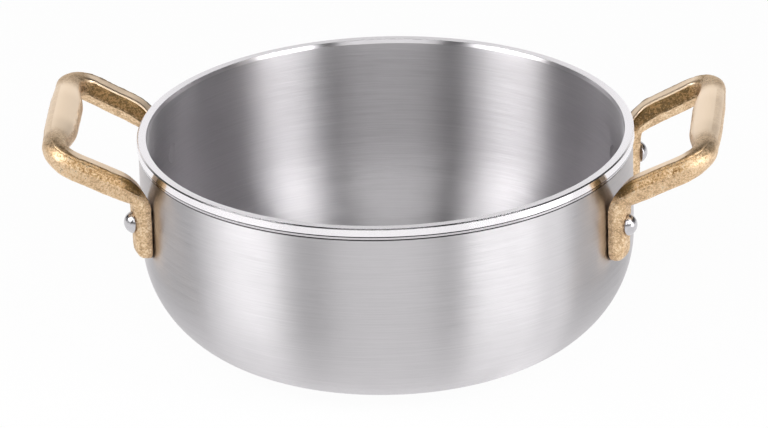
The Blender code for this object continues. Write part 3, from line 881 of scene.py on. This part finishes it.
def masked_rings():
    """For each section from foot to foot, its points with their masks."""
    rings = []
    for station in half_loop:
        ring = []
        for flat, edge, along in station.flat_ring():
            point = station.middle + station.across * flat.x + station.up * flat.y
            ring.append((point, masks(station, edge, along)))
        rings.append(ring)
    return rings + [[(Vector((p.x, -p.y, p.z)), m) for p, m in ring] for ring in rings[-2::-1]]


def grain_at(point, shift):
    """Rise of the mould's grain at a point, from soft lumps and finer grit."""
    lump = noise.noise((point + shift) / LUMP_SIZE)
    grit = noise.noise((point - shift) / GRIT_SIZE)
    return LUMP_HEIGHT * lump + GRIT_HEIGHT * grit


def skin_handle(name, turn, grain_shift):
    rings = masked_rings()
    count = len(rings[0])
    built = bmesh.new()
    cast_layer = built.verts.layers.float.new("cast")
    # The second mask carries brown stain and painted shade
    stain_and_shade_layer = built.verts.layers.float.new("stain_and_shade")
    verts = [[built.verts.new(p) for p, m in ring] for ring in rings]
    for ring, after in zip(verts, verts[1:]):
        for i in range(count):
            built.faces.new((ring[i - 1], ring[i], after[i], after[i - 1]))
    for end in (verts[0], verts[-1]):
        middle = built.verts.new(sum((v.co for v in end), Vector()) / count)
        for i in range(count):
            built.faces.new((end[i - 1], end[i], middle))
    bmesh.ops.recalc_face_normals(built, faces=built.faces)
    built.normal_update()
    offsets = []
    for ring, row in zip(verts, rings):
        for vert, (point, (cast, stain_and_shade, crease)) in zip(ring, row):
            vert[cast_layer] = cast
            vert[stain_and_shade_layer] = stain_and_shade
            rise = cast * grain_at(point, grain_shift) - CREASE_DEPTH * crease
            offsets.append((vert, vert.normal * rise))
    for vert, offset in offsets:
        vert.co += offset
    mesh = bpy.data.meshes.new(name)
    built.to_mesh(mesh)
    built.free()
    mesh.transform(turn)
    mesh.shade_smooth()
    mesh.materials.append(brass)
    return add_object(name, mesh)


casting_right = skin_handle("casting_right", Matrix.Identity(4), RIGHT_GRAIN)
casting_left = skin_handle("casting_left", Matrix.Rotation(math.pi, 4, "Z"), LEFT_GRAIN)
print("castings:", len(casting_right.data.polygons), "faces each")

# %% [markdown]
# Soft aluminium rivets are peened: the head outside is a low dome, never quite even, and the tail inside is
# hammered flush. The head is bright, and its soft dents make its reflections wobble.

# %% Polished aluminium
DENT_SIZE = 1.6 * MM
DENT_DEPTH = 0.04 * MM
SMOOTHEST_HEAD = 0.16
ROUGHEST_HEAD = 0.28


def polished_aluminium():
    made, tree, shader, place = new_metal("peened_polished_aluminium")
    dent = add_node(tree, "ShaderNodeTexNoise", {"Vector": place, "Scale": 1 / DENT_SIZE, "Detail": 2.0})
    colour = add_node(tree, "ShaderNodeMix",
                      {0: dent, 6: linear("#B9B7BA"), 7: linear("#DAD8DB")}, data_type="RGBA")
    rough = add_node(tree, "ShaderNodeMapRange",
                     {0: dent, 1: NOISE_LOW, 2: NOISE_HIGH, 3: SMOOTHEST_HEAD, 4: ROUGHEST_HEAD})
    bump = add_node(tree, "ShaderNodeBump", {"Distance": DENT_DEPTH, "Height": dent})
    fill(tree, shader, {"Base Color": colour.outputs[2], "Roughness": rough, "Normal": bump})
    return made


peened_aluminium = polished_aluminium()
print("finish:", peened_aluminium.name)

# %% [markdown]
# A rivet is a turned shape too, so the pan's tree makes it: dome, shank, and a tail that fills its
# countersink inside the pan.

# %% One rivet
SHANK_RADIUS = 2.0 * MM
HEAD_RADIUS = 3.5 * MM
HEAD_HEIGHT = 2.7 * MM
HEAD_EDGE = 0.4 * MM
HEAD_LIP = 0.15 * MM
TAIL_RADIUS = 3.2 * MM
TAIL_PROUD = 0.06 * MM
TAIL_BEVEL = 0.1 * MM
HEAD_SEAT = WALL_THICKNESS + 2 * FIT_GAP + foot_thickness_at(RIVET_HEIGHT)
RIVET_STEPS = 56
DOME_STEPS = 14
LIP_STEPS = 3


def rivet_line():
    """Half section with the pan's inner face at height 0, from the head's top to the tail."""
    top = HEAD_SEAT + HEAD_HEIGHT
    bulge = HEAD_HEIGHT - HEAD_EDGE
    dome_radius = (HEAD_RADIUS**2 + bulge**2) / (2 * bulge)
    start = math.asin((dome_radius - bulge) / dome_radius)
    dome = arc((0, top - dome_radius), dome_radius, math.pi / 2, start, DOME_STEPS)
    lip = arc((HEAD_RADIUS - HEAD_LIP, HEAD_SEAT + HEAD_LIP), HEAD_LIP, 0, -math.pi / 2, LIP_STEPS)
    shank = [(SHANK_RADIUS, HEAD_SEAT), (SHANK_RADIUS, TAIL_RADIUS - SHANK_RADIUS)]
    tail = [(TAIL_RADIUS, 0), (TAIL_RADIUS - TAIL_BEVEL, -TAIL_PROUD), (0, -TAIL_PROUD)]
    return [(0, top)] + dome[1:] + lip + shank + tail


rivet = turned("one_rivet", rivet_line(), RIVET_STEPS, peened_aluminium)
print("rivet:", len(rivet.data.polygons), "faces")

# %% [markdown]
# Four rivets are the same piece in four places, which is a job for Geometry Nodes: the tree puts a rivet on
# each seat, aims it along the seat's outward direction and gives it a slight lean and a turn of its own. The
# tails were brushed together with the wall, so their faces get the wall's finish.

# %% Set the four rivets
RIVET_SEED = 7
RIVET_LEAN = math.radians(2.5)


def rivet_tree():
    tree, given = new_tree("set_rivets", {"Seats": "Geometry", "Rivet": "Object", "Lean": "Float",
                                          "Seed": "Int", "Finish": "Material"}, "Rivets")
    piece = add_node(tree, "GeometryNodeObjectInfo", {"Object": given["Rivet"]})
    outward = add_node(tree, "GeometryNodeInputNamedAttribute", {"Name": "outward"}, data_type="FLOAT_VECTOR")
    aim = add_node(tree, "FunctionNodeAlignRotationToVector", {"Vector": outward}, axis="Z")
    least = add_node(tree, "ShaderNodeMath", {0: given["Lean"], 1: -1.0}, operation="MULTIPLY")
    low = add_node(tree, "ShaderNodeCombineXYZ", {0: least, 1: least})
    high = add_node(tree, "ShaderNodeCombineXYZ", {0: given["Lean"], 1: given["Lean"], 2: math.tau})
    chance = add_node(tree, "FunctionNodeRandomValue",
                      {0: low, 1: high, "Seed": given["Seed"]}, data_type="FLOAT_VECTOR")
    own = add_node(tree, "FunctionNodeEulerToRotation", {0: chance})
    turn = add_node(tree, "FunctionNodeRotateRotation", {0: aim, 1: own}, rotation_space="LOCAL")
    placed = add_node(tree, "GeometryNodeInstanceOnPoints",
                      {"Points": given["Seats"], "Instance": piece.outputs["Geometry"], "Rotation": turn})
    end_tree(tree, placed, given["Finish"])
    return tree


def rivet_seats():
    """A point on the wall's inner face for each rivet, with its outward direction."""
    directions = [Vector((OUTWARD.x * x, OUTWARD.y * y, 0)) for x in (1, -1) for y in (1, -1)]
    inner = wall_radius_at(RIVET_HEIGHT) - WALL_THICKNESS
    mesh = bpy.data.meshes.new("rivet_seats")
    mesh.from_pydata([d * inner + Vector((0, 0, RIVET_HEIGHT)) for d in directions], [], [])
    outward = mesh.attributes.new("outward", "FLOAT_VECTOR", "POINT")
    for value, direction in zip(outward.data, directions):
        value.vector = direction
    return add_object("rivet_seats", mesh)


rivet_values = {"Rivet": rivet, "Lean": RIVET_LEAN, "Seed": RIVET_SEED, "Finish": peened_aluminium}
rivets = grow(rivet_seats(), rivet_tree(), rivet_values, "rivets")
bpy.data.objects.remove(rivet, do_unlink=True)
rivets.data.materials.append(spun_aluminium)
mark_profile(rivets)
for face in rivets.data.polygons:
    if math.hypot(face.center.x, face.center.y) < MOUTH_RADIUS + TAIL_PROUD:
        face.material_index = 1
print("rivets:", len(rivets.data.polygons), "faces in all")

# %% [markdown]
# Every finished piece hides the solids it refines and rides on the one body.

# %% Pieces and bodies
for piece, slot, nodes in (
    (pan, "pan_aluminium", ["pan_body"]),
    (casting_right, "handle_brass", ["handle_right"]),
    (casting_left, "handle_brass", ["handle_left"]),
    (rivets, "rivet_aluminium", [n for n in sorted(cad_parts) if n.startswith("rivet_")]),
):
    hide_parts(*nodes)
    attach(piece, "root")

# %% [markdown]
# The camera looks from the photograph's angle, and the lamps are placed as it sees them. Brushed metal turns
# a lamp into an upright band, so five upright softboxes are laid out for the bands. The outside shows a lamp
# on the lamp's own side of the picture, the inside on the other side. What stands low shows mostly outside,
# what hangs higher than about 20 degrees mostly inside. So the right has a low panel for the outside and a
# higher one farther off for the inside. On the left a near and a far panel serve both. A wide one in front,
# high up, lights grips, rim and middle. What a reflection shows of a lamp is its radiance, so each lamp gets
# a radiance, and its power in watts is worked out from that and its area.

# %% Softboxes
CAMERA_AZIMUTH = math.radians(4.68)


def direction(azimuth, elevation):
    """Unit vector from the pan, with azimuth measured from the front towards the right."""
    flat = math.cos(elevation)
    return Vector((math.sin(azimuth) * flat, -math.cos(azimuth) * flat, math.sin(elevation)))


def softbox(name, start, end, bottom, top, radiance):
    """An upright area lamp over a line on the floor. The line's ends are (right, rear), all sizes in mm."""
    right = direction(CAMERA_AZIMUTH + math.pi / 2, 0)
    rear = direction(CAMERA_AZIMUTH + math.pi, 0)
    ends = [(right * x + rear * y) * MM for x, y in (start, end)]
    lamp = bpy.data.lights.new(name, "AREA")
    lamp.shape = "RECTANGLE"
    lamp.size = (ends[1] - ends[0]).length
    lamp.size_y = (top - bottom) * MM
    lamp.energy = radiance * math.pi * lamp.size * lamp.size_y
    made = add_object(name, lamp)
    middle = (ends[0] + ends[1]) / 2
    away = (ends[1] - ends[0]).cross(Vector((0, 0, 1))).normalized()
    back = away if away.dot(middle) > 0 else -away
    made.location = middle + Vector((0, 0, (bottom + top) / 2 * MM))
    made.rotation_euler = back.to_track_quat("Z", "Y").to_euler()
    print(name, "is", round(lamp.size / MM), "by", round(lamp.size_y / MM), "mm")


softbox("softbox_left_near", (-444, 10), (-287, -256), 185, 455, 4.1)
softbox("softbox_right_low", (315, -56), (301, -205), 5, 150, 1.9)
softbox("softbox_left_far", (-1500, -190), (-1207, -890), 420, 1330, 1.9)
softbox("softbox_right_high", (562, -233), (366, -500), 262, 590, 6.9)
softbox("softbox_front", (-750, -1300), (600, -1375), 600, 2650, 1.9)

# %% [markdown]
# The camera sees the world as white paper. Metal sees that paper only behind the pan and, dimmer, along the
# horizon. The rest of the room is almost dark to it, or the bands would drown. What is matt, here the floor,
# gets a quiet light from all round instead. The Light Path node tells these rays apart.

# %% World
ROOM_LIGHT = 0.35
ROOM_IN_METAL = 0.03
BACKDROP_START = 0.68
BACKDROP_FULL = 0.89
BACKDROP_TOP = (0.60, 0.84)
HORIZON_TOP = (0.12, 0.2)
HORIZON_LEVEL = 0.4


def surroundings(tree):
    """What metal mirrors, by direction: 1 on the backdrop, HORIZON_LEVEL low all round, 0 elsewhere."""
    place = add_node(tree, "ShaderNodeTexCoord").outputs["Generated"]
    height = add_node(tree, "ShaderNodeSeparateXYZ", {0: place}).outputs[2]
    behind = direction(CAMERA_AZIMUTH + math.pi, 0)
    depth = add_node(tree, "ShaderNodeVectorMath", {0: place, 1: behind}, operation="DOT_PRODUCT")
    rear = add_node(tree, "ShaderNodeMapRange",
                    {0: depth.outputs["Value"], 1: BACKDROP_START, 2: BACKDROP_FULL},
                    interpolation_type="SMOOTHSTEP")
    low = add_node(tree, "ShaderNodeMapRange",
                   {0: height, 1: BACKDROP_TOP[1], 2: BACKDROP_TOP[0]}, interpolation_type="SMOOTHSTEP")
    backdrop = add_node(tree, "ShaderNodeMath", {0: rear, 1: low}, operation="MULTIPLY")
    horizon = add_node(tree, "ShaderNodeMapRange",
                       {0: height, 1: HORIZON_TOP[1], 2: HORIZON_TOP[0], 4: HORIZON_LEVEL},
                       interpolation_type="SMOOTHSTEP")
    return add_node(tree, "ShaderNodeMath", {0: backdrop, 1: horizon}, operation="MAXIMUM")


def seen_directly(tree, rays):
    """1 for rays from the camera, straight or through glass."""
    return add_node(tree, "ShaderNodeMath",
                    {0: rays["Is Camera Ray"], 1: rays["Is Transmission Ray"]}, operation="MAXIMUM")


def studio_world():
    world = bpy.data.worlds.new("studio")
    bpy.context.scene.world = world
    world.use_nodes = True
    tree = world.node_tree
    tree.nodes.clear()
    rays = add_node(tree, "ShaderNodeLightPath").outputs
    mirrored = add_node(tree, "ShaderNodeMath",
                        {0: surroundings(tree), 1: rays["Is Glossy Ray"]}, operation="MULTIPLY")
    seen = add_node(tree, "ShaderNodeMath", {0: seen_directly(tree, rays), 1: mirrored}, operation="MAXIMUM")
    room = add_node(tree, "ShaderNodeMix",
                    {0: rays["Is Glossy Ray"], 2: ROOM_LIGHT, 3: ROOM_IN_METAL}, data_type="FLOAT")
    level = add_node(tree, "ShaderNodeMix", {0: seen, 2: room, 3: 1.0}, data_type="FLOAT")
    paper = add_node(tree, "ShaderNodeBackground", {"Color": (1, 1, 1, 1), "Strength": level})
    add_node(tree, "ShaderNodeOutputWorld", {"Surface": paper})
    return world


print("world:", studio_world().name)

# %% [markdown]
# The floor is matt white paper. To camera and metal it glows almost white by itself, and the little that is
# left of its own lit colour holds the pan's soft shadow.

# %% Floor
FLOOR_SIZE = 6.0
PAPER_GLOW = 0.95
FIBRES_PER_METRE = 900.0


def floor_paper():
    made = bpy.data.materials.new("matt_white_paper")
    made.use_nodes = True
    tree = made.node_tree
    tree.nodes.clear()
    rays = add_node(tree, "ShaderNodeLightPath").outputs
    place = add_node(tree, "ShaderNodeTexCoord").outputs["Object"]
    fibre = add_node(tree, "ShaderNodeTexNoise", {"Vector": place, "Scale": FIBRES_PER_METRE})
    tone = add_node(tree, "ShaderNodeMix",
                    {0: fibre, 6: linear("#F0F0F0"), 7: linear("#F6F6F6")}, data_type="RGBA")
    matt = add_node(tree, "ShaderNodeBsdfDiffuse", {"Color": tone.outputs[2]})
    seen = add_node(tree, "ShaderNodeMath",
                    {0: seen_directly(tree, rays), 1: rays["Is Glossy Ray"]}, operation="MAXIMUM")
    level = add_node(tree, "ShaderNodeMath", {0: seen, 1: PAPER_GLOW}, operation="MULTIPLY")
    white = add_node(tree, "ShaderNodeEmission", {"Color": (1, 1, 1, 1), "Strength": 1.0})
    both = add_node(tree, "ShaderNodeMixShader", {0: level, 1: matt, 2: white})
    add_node(tree, "ShaderNodeOutputMaterial", {"Surface": both})
    return made


half = FLOOR_SIZE / 2
floor_corners = [(-half, -half, 0), (half, -half, 0), (half, half, 0), (-half, half, 0)]
floor_mesh = bpy.data.meshes.new("floor")
floor_mesh.from_pydata(floor_corners, [], [(0, 1, 2, 3)])
floor_mesh.materials.append(floor_paper())
floor = add_object("floor", floor_mesh)
print("floor:", FLOOR_SIZE, "m wide")

# %% [markdown]
# Angle, roll and scale of the camera were found by fitting the pan's outline to the photographed one. The
# camera aims a little beside the rim's middle, so that the rim sits at its place in the picture without a
# shift of the lens.

# %% Camera
CAMERA_ELEVATION = math.radians(22.9)
CAMERA_ROLL = math.radians(-1.57)
CAMERA_DISTANCE = 5.0
CAMERA_REACH = 50.0
PIXELS_PER_METRE = 3113.4
RIM_CENTRE_PIXEL = (385.4, 134.0)
RIM_CENTRE_DROP = 1.0 * MM
RIM_CENTRE = Vector((0, 0, PAN_HEIGHT - RIM_CENTRE_DROP))
IMAGE_SIZE = (768, 428)
SENSOR_WIDTH = 36.0


def add_camera():
    """Looks from the photograph's angle, with the rim's centre at its place in the picture."""
    data = bpy.data.cameras.new("camera")
    data.sensor_width = SENSOR_WIDTH
    data.lens = PIXELS_PER_METRE * CAMERA_DISTANCE * SENSOR_WIDTH / IMAGE_SIZE[0]
    data.clip_end = CAMERA_REACH
    made = add_object("camera", data)
    back = direction(CAMERA_AZIMUTH, CAMERA_ELEVATION)
    turn = back.to_track_quat("Z", "Y").to_matrix() @ Matrix.Rotation(CAMERA_ROLL, 3, "Z")
    right = turn @ Vector((1, 0, 0))
    up = turn @ Vector((0, 1, 0))
    eye = RIM_CENTRE + back * CAMERA_DISTANCE
    aside = (IMAGE_SIZE[0] / 2 - RIM_CENTRE_PIXEL[0]) / PIXELS_PER_METRE
    down = (RIM_CENTRE_PIXEL[1] - IMAGE_SIZE[1] / 2) / PIXELS_PER_METRE
    aim = RIM_CENTRE + right * aside + up * down
    z = (eye - aim).normalized()
    x = up.cross(z).normalized()
    made.matrix_world = Matrix.Translation(eye) @ Matrix((x, z.cross(x), z)).transposed().to_4x4()
    bpy.context.scene.camera = made
    print("camera: lens of", round(data.lens), "mm")


add_camera()
bpy.context.scene.view_settings.view_transform = "Standard"
